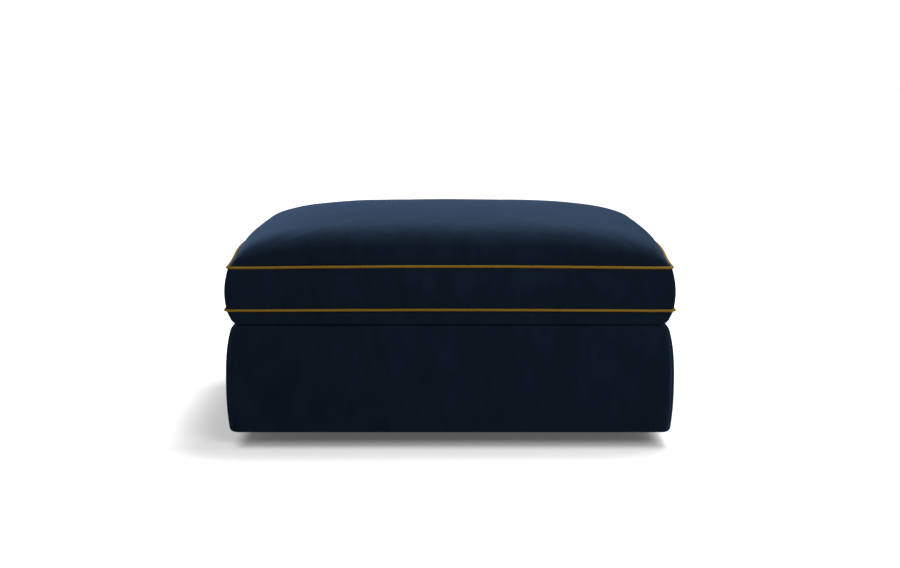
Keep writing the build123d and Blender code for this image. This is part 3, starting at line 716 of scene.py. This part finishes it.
def makeBoxing():
    # one strip from the zip's one end round the front to its other end
    zipEnd = (1 - boxing["arcShare"]) * boxing["zipHalfLength"] / (bandHigh.x - boxing["radius"])
    long, short = sidePlaces(boxing, boxing["frontSteps"]), sidePlaces(boxing, boxing["sideSteps"])
    back = [zipEnd] + [a for a in long if a > zipEnd]
    places = [(2, a) for a in back]
    places += [(3, a) for a in short[1:]] + [(0, a) for a in long[1:]] + [(1, a) for a in short[1:]]
    places += [(2, -a) for a in reversed(back[:-1])]
    bm = unitGrid(len(places) - 1, boxing["heightSteps"])
    for v in bm.verts:
        turn, along = gridPlace(v.co.x, places)
        v.co = boxingPoint(turn, along, (v.co.y + 1) / 2)
    piece = addPiece("boxingBand", bm, "cushion", velvet, ["boxing_band", "fibre_wrap_sides"])
    settleCloth(piece, boundaryVertices(piece))
    finishCloth(piece, boxing["thickness"], smooth=True)


piping = {
    "clothRadius": 3.0 * mm,
    "cordRadius": 1.9 * mm,
    "cornerRadius": 10 * mm,
    "clothSteps": (900, 14),     # along it and round it
    "cordSteps": (360, 10),
    "wobble": (0.25 * mm, 60),
    "creaseMm": 9,
    "creaseDepth": 0.06 * mm,
    "joinAside": 12 * mm,        # the two ends overlap at the back, beside its middle
    "joinWidth": 16 * mm,
    "joinSwell": 0.35 * mm,
}


def pathPoint(length, halfX, halfY, corner):
    # walks once round a rounded rectangle, from the middle of the front
    half = Vector((halfX - corner, halfY - corner))
    arc = math.pi / 2 * corner
    if length <= half.x:
        return Vector((length, -halfY)), Vector((0, -1))
    left = length - half.x
    for turn, (right, back) in enumerate(((1, -1), (1, 1), (-1, 1), (-1, -1))):
        centre = Vector((right * half.x, back * half.y))
        angle = turn * math.pi / 2
        if left <= arc:
            angle += left / corner - math.pi / 2
            outward = Vector((math.cos(angle), math.sin(angle)))
            return centre + outward * corner, outward
        left -= arc
        outward = Vector((math.cos(angle), math.sin(angle)))
        run = 2 * (half.x if turn % 2 else half.y)
        if left <= run or turn == 3:
            return centre + outward * corner + Vector((-outward.y, outward.x)) * left, outward
        left -= run


def makePiping(name, seam, part, material, replaced):
    # a tube once round the cushion: the cloth, which swells where its ends overlap, or the cord inside it
    low, high = span(f"{seam}_piping")
    stand, radius = piping["clothRadius"], piping[part + "Radius"]
    halfX, halfY, z = high.x - stand, high.y - stand, (low.z + high.z) / 2
    corner = piping["cornerRadius"] + stand
    total = 4 * (halfX + halfY - 2 * corner) + 2 * math.pi * corner
    bm = unitGrid(*piping[part + "Steps"])
    uvLayer = bm.loops.layers.uv.new("alongAndRound")
    spots = {}
    for v in bm.verts:
        length, angle = (v.co.x + 1) / 2 * total, (v.co.y + 1) * math.pi
        spots[v] = (length, angle * radius)
        centre, outward = pathPoint(length, halfX, halfY, corner)
        here = Vector((centre.x, centre.y, z)) + seamShift(centre.x, centre.y, halfX, halfY, seam)
        crease = math.sin(length / (piping["creaseMm"] * mm) * 2 * math.pi + 2 * math.sin(angle))
        reach = radius + piping["creaseDepth"] * crease
        if part == "cloth":
            fromJoin = abs(length - total / 2 - piping["joinAside"]) / (piping["joinWidth"] / 2)
            reach += piping["joinSwell"] * (1 - min(1, fromJoin) ** 4)
        out, rise = math.cos(angle) * reach, math.sin(angle) * reach + unevenAt(here, piping["wobble"])
        v.co = here + Vector((outward.x * out, outward.y * out, rise))
    for face in bm.faces:
        for loop in face.loops:
            loop[uvLayer].uv = spots[loop.vert]
    bmesh.ops.remove_doubles(bm, verts=bm.verts, dist=0.02 * mm)
    bmesh.ops.recalc_face_normals(bm, faces=bm.faces)
    addPiece(name, bm, "cushion", material, [replaced])


makeTop()
makeBelly()
makeBoxing()
for seam in ("upper", "lower"):
    makePiping(f"{seam}Piping", seam, "cloth", pipingCloth, f"{seam}_piping")
    makePiping(f"{seam}PipingCord", seam, "cord", cottonCord, "piping_cords")
print("cushion is made")


# base

baseForm = {
    "fullestShare": 0.40,
    "upperInset": 17 * mm,
    "upperPower": 3.0,
    "lowerInset": 7.4 * mm,
    "lowerPower": 2.0,
    "topRise": 13 * mm,          # height of the rolled top edge
    "bottomRise": 9 * mm,
    "cornerRadius": 26 * mm,
    "tightestCorner": 4 * mm,
    "arcShare": 0.08,
    "arcSteps": 6,
    "frontSteps": 104,
    "sideSteps": 74,
    "flange": 95 * mm,           # border of velvet on the deck
    "turnUnder": 60 * mm,
    "flangeSteps": 7,
    "rollSteps": 7,
    "wallSteps": 26,
    "underSteps": 5,
    "seamDepth": 1.6 * mm,
    "seamWidth": 5 * mm,
    "uneven": (0.8 * mm, 150),
    "thickness": 1.5 * mm,
}

baseLow, baseHigh = span("front_cover", "back_cover", "left_cover", "right_cover")
baseHeight = baseHigh.z - baseLow.z


def edgeRoll(share, way, rise, faceZ):
    # the roll from a level face to the wall, at the top edge for a way of 1 and at the bottom one for -1
    step = 0.001
    lean = math.atan((insetAt(baseForm, share) - insetAt(baseForm, share - way * step)) / (step * baseHeight))
    radius = rise / (1 - math.sin(lean))
    edge = insetAt(baseForm, share) + radius * math.cos(lean)
    angles = evenly(math.pi / 2, lean, baseForm["rollSteps"])
    return [(edge - radius * math.cos(a), faceZ - way * radius * (1 - math.sin(a))) for a in angles]


def baseProfile():
    # inset and height, from the inner edge of the deck border over the side to the edge turned under
    topShare, bottomShare = 1 - baseForm["topRise"] / baseHeight, baseForm["bottomRise"] / baseHeight
    topRoll = edgeRoll(topShare, 1, baseForm["topRise"], baseHigh.z)
    bottomRoll = edgeRoll(bottomShare, -1, baseForm["bottomRise"], baseLow.z)
    flange = baseForm["flange"]
    level = evenly(flange - 2.5 * mm, topRoll[0][0], baseForm["flangeSteps"])[:-1]
    wall = evenly(topShare, bottomShare, baseForm["wallSteps"])[:-1]
    below = evenly(bottomRoll[0][0], baseForm["turnUnder"], baseForm["underSteps"])
    points = [(flange + 0.3 * mm, baseHigh.z - 1.6 * mm), (flange - 0.4 * mm, baseHigh.z - 0.5 * mm)]
    points += [(inset, baseHigh.z) for inset in level] + topRoll[:-1]
    points += [(insetAt(baseForm, share), baseLow.z + share * baseHeight) for share in wall]
    return points + bottomRoll[:0:-1] + [(inset, baseLow.z) for inset in below]


def makeCover(name, node, turn):
    profile = baseProfile()
    steps = sidePlaces(baseForm, baseForm["frontSteps"] if turn % 2 == 0 else baseForm["sideSteps"])
    arcShare = baseForm["arcShare"]
    bm = unitGrid(len(steps) - 1, len(profile) - 1)
    for v in bm.verts:
        along = gridPlace(v.co.x, steps)
        inset, z = gridPlace(v.co.y, profile)
        corner = max(baseForm["cornerRadius"] - 0.8 * inset, baseForm["tightestCorner"])
        point, outward = ringPoint(turn, along, baseHigh.x - inset, baseHigh.y - inset, corner, arcShare)
        fromCorner = corner
        if abs(along) > 1 - arcShare:
            fromCorner = (1 - abs(along)) / arcShare * corner * math.pi / 4
        dip = baseForm["seamDepth"] * math.exp(-(fromCorner / baseForm["seamWidth"]) ** 2)
        shift = 0
        if baseLow.z + 4 * mm < z < baseHigh.z - 1 * mm:
            swell = unevenAt((point.x, point.y, z), baseForm["uneven"])
            shift = swell * math.sin(math.pi * (z - baseLow.z) / baseHeight) - dip
        drop = 0.8 * dip if z > baseHigh.z - 3 * mm else 0
        v.co = (point.x + outward.x * shift, point.y + outward.y * shift, z - drop)
    bmesh.ops.reverse_faces(bm, faces=bm.faces)
    piece = addPiece(name, bm, "base", velvet, [node, node.replace("cover", "padding")])
    finishCloth(piece, baseForm["thickness"], smooth=True)


for turn, side in enumerate(("front", "right", "back", "left")):
    makeCover(f"{side}Cover", f"{side}_cover", turn)
print("base is made")


# helpers for the parts that follow

def wirePiece(name, body, material, replaces, lines, radius, roundness):
    # wire, thread or nylon bent along each line of points
    curve = bpy.data.curves.new(name, "CURVE")
    curve.dimensions = "3D"
    curve.bevel_depth = radius
    curve.bevel_resolution = roundness
    curve.use_fill_caps = True
    for line in lines:
        spline = curve.splines.new("POLY")
        spline.points.add(len(line) - 1)
        for point, place in zip(spline.points, line):
            point.co = (*place, 1)
    holder = newObject(name, curve)
    mesh = bpy.data.meshes.new_from_object(holder.evaluated_get(bpy.context.evaluated_depsgraph_get()))
    bpy.data.objects.remove(holder)
    bpy.data.curves.remove(curve)
    bm = bmesh.new()
    bm.from_mesh(mesh)
    bpy.data.meshes.remove(mesh)
    bmesh.ops.remove_doubles(bm, verts=bm.verts, dist=0.001 * mm)
    bmesh.ops.recalc_face_normals(bm, faces=bm.faces)
    addPiece(name, bm, body, material, replaces)


def easedPiece(name, node, body, material, width):
    # the node's own shape with its sharp edges rounded over, as moulding, casting or sanding leaves them
    bm = bmesh.new()
    bm.from_mesh(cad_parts[node].data)
    bmesh.ops.remove_doubles(bm, verts=bm.verts, dist=0.002 * mm)
    bmesh.ops.dissolve_limit(bm, angle_limit=math.radians(1), verts=bm.verts, edges=bm.edges)
    sharp = [e for e in bm.edges if e.is_manifold and e.calc_face_angle(0) > math.radians(50)]
    bmesh.ops.bevel(
        bm, geom=sharp, offset=width, segments=2, affect="EDGES", profile=0.5, material=-1,
        clamp_overlap=True,
    )
    bmesh.ops.triangulate(bm, faces=[f for f in bm.faces if len(f.verts) > 4])
    piece = addPiece(name, bm, body, material, [node])
    piece.data.set_sharp_from_angle(angle=math.radians(32))


# zip in the back of the boxing

zipForm = {
    "halfLength": 440 * mm,      # panels, between the seams that join them to the boxing
    "slotHalf": 5.3 * mm,        # the cloth's folded edges stand this far from the middle
    "foldRadius": 0.75 * mm,
    "turnedIn": 11 * mm,
    "clothThickness": 0.65 * mm,
    "alongSteps": 150,
    "acrossSteps": 11,
    "stitchFromFold": 6 * mm,
    "stitchDip": 0.35 * mm,
    "stitchPitch": 4.2 * mm,
    "stitchLength": 3.1 * mm,
    "threadRadius": 0.24 * mm,
    "pucker": (0.18 * mm, 11),
    "tapeHalfLength": 442 * mm,
    "tapeSteps": (140, 6),
    "tapeThickness": 0.6 * mm,
    "tapeBehind": 1.75 * mm,     # least depth of the tapes behind the boxing's face
    "guardHalf": 15 * mm,        # strip of lining behind the zip, which keeps the filling off the coils
    "guardBehind": 1.9 * mm,
    "guardUneven": (0.2 * mm, 25),
    "guardThickness": 0.4 * mm,
    "split": 0.8 * mm,           # from the middle to each coil
    "coilHalfLength": 425 * mm,
    "coilPitch": 1.6 * mm,
    "coilHalfWidth": 1.2 * mm,
    "coilSteps": 10,
    "coilWire": 0.34 * mm,
    "endSeamDip": 1.3 * mm,
    "endSeamWidth": 4 * mm,
}

upperTapeLow, upperTapeHigh = span("zip_tape_upper")
lowerTapeHigh = span("zip_tape_lower")[1]
zipMiddle = (upperTapeLow.z + lowerTapeHigh.z) / 2
tapeWidth = upperTapeHigh.z - upperTapeLow.z
tapeFace = upperTapeLow.y + 0.7 * mm       # the side of the tape that carries the coil
coilFace = upperTapeHigh.y


def backPoint(x, z):
    # the boxing's outer face at the back
    along = -x / (bandHigh.x - boxing["radius"]) * (1 - boxing["arcShare"])
    return boxingPoint(2, along, (z - bandLow.z) / (bandHigh.z - bandLow.z))


def tapePoint(x, z, behind=0):
    return Vector((x, min(tapeFace, backPoint(x, z).y - zipForm["tapeBehind"]) - behind, z))


def faceBack(bm):
    # the side seen from behind becomes the outer one
    bmesh.ops.recalc_face_normals(bm, faces=bm.faces)
    middle = min(bm.faces, key=lambda f: (f.calc_center_median() - Vector((0, 1, zipMiddle))).length)
    if middle.normal.y < 0:
        bmesh.ops.reverse_faces(bm, faces=bm.faces)


def zipPanelProfile(side):
    # heights and depths from the seam to the folded edge, round it and a little way back inside
    r = zipForm["foldRadius"]
    start = zipMiddle + side * (zipForm["slotHalf"] + r)
    stitchAt = start + side * zipForm["stitchFromFold"]
    seamAt = bandHigh.z if side > 0 else bandLow.z
    rows = [(z, 0.0) for z in evenly(seamAt, stitchAt + side * 3 * mm, zipForm["acrossSteps"])]
    for offset in (1.2, 0, -1.2, -3, -5):
        rows.append((stitchAt + side * offset * mm, zipForm["stitchDip"] if offset == 0 else 0.0))
    rows += [(start - side * r * math.sin(a), r * (1 - math.cos(a))) for a in evenly(0, math.pi, 6)]
    return rows + [(z, 2 * r) for z in evenly(start, start + side * zipForm["turnedIn"], 4)[1:]]


def makeZipPanel(name, node, side):
    rows = zipPanelProfile(side)
    bm = unitGrid(zipForm["alongSteps"], len(rows) - 1)
    for v in bm.verts:
        x = ease(v.co.x, 0.3) * zipForm["halfLength"]
        z, depth = gridPlace(v.co.y, rows)
        fromEnd = zipForm["halfLength"] - abs(x)
        dip = zipForm["endSeamDip"] * math.exp(-(fromEnd / zipForm["endSeamWidth"]) ** 2)
        pucker = unevenAt((x, z, 0), zipForm["pucker"]) * min(1, fromEnd / (20 * mm))
        v.co = backPoint(x, z) + Vector((0, pucker - depth - dip, 0))
    faceBack(bm)
    piece = addPiece(name, bm, "cushion", velvet, [node])
    finishCloth(piece, zipForm["clothThickness"], smooth=True)


def makeStitches(name, side, replaced):
    # a row of lockstitch that holds the tape behind the folded edge
    z = zipMiddle + side * (zipForm["slotHalf"] + zipForm["foldRadius"] + zipForm["stitchFromFold"])
    count = int(2 * (zipForm["halfLength"] - 6 * mm) / zipForm["stitchPitch"])
    half = zipForm["stitchLength"] / 2
    lines = []
    for number in range(count):
        x = (number - (count - 1) / 2) * zipForm["stitchPitch"]
        points = []
        for share, rise in ((-1, -0.5), (-0.8, 0.05), (0, 0.12), (0.8, 0.05), (1, -0.5)):
            here = backPoint(x + share * half, z + 0.12 * mm * (number % 2))
            points.append(here + Vector((0, rise * mm - zipForm["stitchDip"] + zipForm["threadRadius"], 0)))
        lines.append(points)
    wirePiece(name, "cushion", sewingThread, [replaced], lines, zipForm["threadRadius"], 0)


def makeTape(name, node, side):
    bm = unitGrid(*zipForm["tapeSteps"])
    for v in bm.verts:
        away = zipForm["split"] + (v.co.y + 1) / 2 * tapeWidth
        v.co = tapePoint(v.co.x * zipForm["tapeHalfLength"], zipMiddle + side * away)
    faceBack(bm)
    piece = addPiece(name, bm, "cushion", zipTapeCloth, [node])
    finishCloth(piece, zipForm["tapeThickness"])


def makeGuard():
    bm = unitGrid(*zipForm["tapeSteps"])
    for v in bm.verts:
        x, z = v.co.x * zipForm["tapeHalfLength"], zipMiddle + v.co.y * zipForm["guardHalf"]
        v.co = tapePoint(x, z, zipForm["guardBehind"] - unevenAt((x, z, 0), zipForm["guardUneven"]))
    faceBack(bm)
    piece = addPiece("zipGuard", bm, "cushion", deckCotton)
    finishCloth(piece, zipForm["guardThickness"])


def makeCoil(name, node, side):
    # one strand of nylon wound into a coil that is sewn to the edge of its tape
    wire = zipForm["coilWire"]
    halfHigh = (coilFace - tapeFace) / 2 - wire
    halfWide = zipForm["coilHalfWidth"] - wire
    centreZ = zipMiddle + side * (zipForm["split"] + zipForm["coilHalfWidth"])
    centre = Vector((-zipForm["coilHalfLength"], (coilFace + tapeFace) / 2, centreZ))
    turns = int(2 * zipForm["coilHalfLength"] / zipForm["coilPitch"])
    line = []
    for number in range(turns * zipForm["coilSteps"] + 1):
        turned = number / zipForm["coilSteps"]
        angle = 2 * math.pi * turned
        line.append(centre + Vector((
            turned * zipForm["coilPitch"], math.sin(angle) * halfHigh, -side * math.cos(angle) * halfWide,
        )))
    wirePiece(name, "cushion", zipNylon, [node], [line], wire, 0)


for side, where in ((1, "upper"), (-1, "lower")):
    makeZipPanel(f"{where}ZipPanel", f"zip_panel_{where}", side)
    makeStitches(f"{where}ZipStitches", side, f"zip_panel_{where}")
    makeTape(f"{where}ZipTape", f"zip_tape_{where}", side)
    makeCoil(f"{where}ZipCoil", f"zip_tape_{where}", side)
makeGuard()
easedPiece("zipStops", "zip_stops", "cushion", darkNickel, 0.3 * mm)
easedPiece("zipSlider", "zip_slider", "zip_slider", darkNickel, 0.22 * mm)
easedPiece("zipPull", "zip_pull", "zip_pull", darkNickel, 0.25 * mm)
print("zip is made")


# deck and filling

deck = {
    "padInset": 2.6 * mm,        # inside the cover's outer face
    "padCorner": 20 * mm,
    "padEdge": 3 * mm,           # how far its upper and lower edges are rounded in
    "coreRound": 10 * mm,
    "clothSteps": (110, 74),
    "clothUnder": 4 * mm,        # seam allowance under the velvet border
    "clothDip": 1.2 * mm,        # the seam round the deck cloth
    "clothWaves": (0.5 * mm, 90),
    "clothThickness": 0.8 * mm,
    "insulatorSteps": (96, 64),
    "insulatorSag": 0.4 * mm,
    "insulatorThickness": 1.0 * mm,
    "springPitch": 137.7 * mm,
}


def makeDeckPad():
    low, high = span("deck_pad")
    bm = bmesh.new()
    bmesh.ops.create_cube(bm, size=2)
    bmesh.ops.subdivide_edges(bm, edges=bm.edges, cuts=30, use_grid_fill=True)
    profile = baseProfile()
    for v in bm.verts:
        share = (v.co.z + 1) / 2
        z = low.z + (high.z - 1 * mm - low.z) * share
        # the innermost place of the cover's wall near this height
        near = [inset for inset, height in profile if z - 8 * mm < height <= z + 3 * mm and inset < 60 * mm]
        inset = max(near) + deck["padInset"] + deck["padEdge"] * (2 * abs(share - 0.5)) ** 6
        u, w = ease(v.co.x, 0.3), ease(v.co.y, 0.3)
        x, y = roundedPoint(u, w, baseHigh.x - inset, baseHigh.y - inset, deck["padCorner"])
        v.co = (x, y, z)
    piece = addPiece("deckPad", bm, "base", openFoam, ["deck_pad"])


def makeFoamCore():
    low, high = span("foam_core")
    bm = bmesh.new()
    bmesh.ops.create_cube(bm, size=1)
    bmesh.ops.scale(bm, vec=high - low, verts=bm.verts)
    bmesh.ops.translate(bm, vec=(low + high) / 2, verts=bm.verts)
    bmesh.ops.bevel(
        bm, geom=bm.edges[:], offset=deck["coreRound"], segments=3, affect="EDGES", profile=0.5, material=-1,
    )
    piece = addPiece("foamCore", bm, "cushion", openFoam, ["foam_core"])
    piece.data.set_sharp_from_angle(angle=math.radians(32))


def makeDeckCloth():
    high = span("deck_cloth")[1]
    halfX, halfY = high.x + deck["clothUnder"], high.y + deck["clothUnder"]
    bm = unitGrid(*deck["clothSteps"])
    for v in bm.verts:
        x, y = ease(v.co.x, 0.6) * halfX, ease(v.co.y, 0.6) * halfY
        fromEdge = min(halfX - abs(x), halfY - abs(y))
        dip = deck["clothDip"] * math.exp(-max(0, fromEdge - deck["clothUnder"]) / (2.5 * mm))
        waves = unevenAt((x, y, 0), deck["clothWaves"]) * min(1, fromEdge / (40 * mm))
        v.co = (x, y, high.z - 0.6 * mm - dip + waves)
    piece = addPiece("deckCloth", bm, "base", deckCotton, ["deck_cloth"])
    finishCloth(piece, deck["clothThickness"])


def makeInsulator():
    high = span("insulator")[1]
    bm = unitGrid(*deck["insulatorSteps"])
    for v in bm.verts:
        x, y = v.co.x * high.x, v.co.y * high.y
        sag = deck["insulatorSag"] * (0.5 + 0.5 * math.cos(x / deck["springPitch"] * 2 * math.pi))
        v.co = (x, y, high.z - sag)
    piece = addPiece("insulatorCloth", bm, "base", insulatorWeave, ["insulator"])
    finishCloth(piece, deck["insulatorThickness"])


makeDeckPad()
makeFoamCore()
makeDeckCloth()
makeInsulator()
print("deck and filling are made")


# springs

springForm = {"count": 7, "bars": 28, "halfWidth": 25 * mm, "bendSteps": 8}


def makeSprings():
    low, high = span("springs")
    wire = (high.z - low.z) / 2
    reachX, reachY = high.x - springForm["halfWidth"] - wire, high.y - wire
    lastBar = springForm["bars"] - 1
    pitch = 2 * reachY / lastBar
    bend = pitch / 2
    halfBar = springForm["halfWidth"] - bend
    lines = []
    for middle in evenly(-reachX, reachX, springForm["count"] - 1):
        line = []
        for bar in range(springForm["bars"]):
            way = 1 if bar % 2 == 0 else -1
            y = -reachY + bar * pitch
            line.append(Vector((middle - way * halfBar, y, low.z + wire)))
            for i in range(springForm["bendSteps"] if bar < lastBar else 1):
                angle = math.pi * i / springForm["bendSteps"]
                x = middle + way * (halfBar + bend * math.sin(angle))
                line.append(Vector((x, y + bend * (1 - math.cos(angle)), low.z + wire)))
        lines.append(line)
    wirePiece("zigzagSprings", "base", zincSteel, ["springs"], lines, wire, 2)


makeSprings()
print("springs are made")


# underside

under = {
    "footHalf": 33.5 * mm,       # cut-outs round the feet
    "meshStep": 12 * mm,
    "hem": 14 * mm,              # edge turned in before it is stapled
    "hemDrop": 0.175 * mm,
    "thickness": 0.45 * mm,
    "sag": 1.2 * mm,
    "ripple": (0.25 * mm, 45),
    "footRound": 1.6 * mm,
}


def coverLines(reach, footAt):
    # the mesh's lines one way, with one at the hem and at each side of the cut-outs
    marks = {-reach, reach, -reach + under["hem"], reach - under["hem"]}
    marks |= {s * (footAt + t * under["footHalf"]) for s in (-1, 1) for t in (-1, 1)}
    ordered = sorted(marks)
    lines = []
    for a, b in zip(ordered, ordered[1:]):
        lines += evenly(a, b, max(1, round((b - a) / under["meshStep"])))[:-1]
    return lines + [reach]


def makeDustCover():
    low, high = span("dust_cover")
    feet = [span(f"{a}_{b}_foot") for a in ("front", "back") for b in ("left", "right")]
    centres = [(a + b) / 2 for a, b in feet]

    def fromFeet(place):
        return min(max(abs(place.x - c.x), abs(place.y - c.y)) for c in centres) - under["footHalf"]

    xs, ys = coverLines(high.x, abs(centres[0].x)), coverLines(high.y, abs(centres[0].y))
    bm = unitGrid(len(xs) - 1, len(ys) - 1)
    for v in bm.verts:
        v.co = (gridPlace(v.co.x, xs), gridPlace(v.co.y, ys), 0)
    openings = [f for f in bm.faces if fromFeet(f.calc_center_median()) < 0]
    bmesh.ops.delete(bm, geom=openings, context="FACES")
    area = sum(f.calc_area() for f in bm.faces)
    for v in bm.verts:
        fromEdge = min(high.x - abs(v.co.x), high.y - abs(v.co.y))
        free = min(1, max(0, fromEdge - 30 * mm) / (120 * mm)) * min(1, max(0, fromFeet(v.co)) / (100 * mm))
        ripple = unevenAt(v.co, under["ripple"]) * min(1, fromEdge / (20 * mm))
        hem = under["hemDrop"] if fromEdge < under["hem"] - 0.1 * mm else 0
        v.co.z = low.z + under["thickness"] - under["sag"] * free * free + ripple - hem
    bmesh.ops.recalc_face_normals(bm, faces=bm.faces)
    bm.faces.ensure_lookup_table()
    if bm.faces[0].normal.z > 0:
        bmesh.ops.reverse_faces(bm, faces=bm.faces)
    piece = addPiece("dustCover", bm, "base", bondedCloth, ["dust_cover"])
    finishCloth(piece, under["thickness"])


makeDustCover()
for depth in ("front", "back"):
    for side in ("left", "right"):
        foot, node = f"{depth}{side.title()}Foot", f"{depth}_{side}_foot"
        easedPiece(foot, node, "base", mouldedPlastic, under["footRound"])
easedPiece("footGlides", "foot_glides", "base", glidePlastic, 0.8 * mm)
print("underside is made")
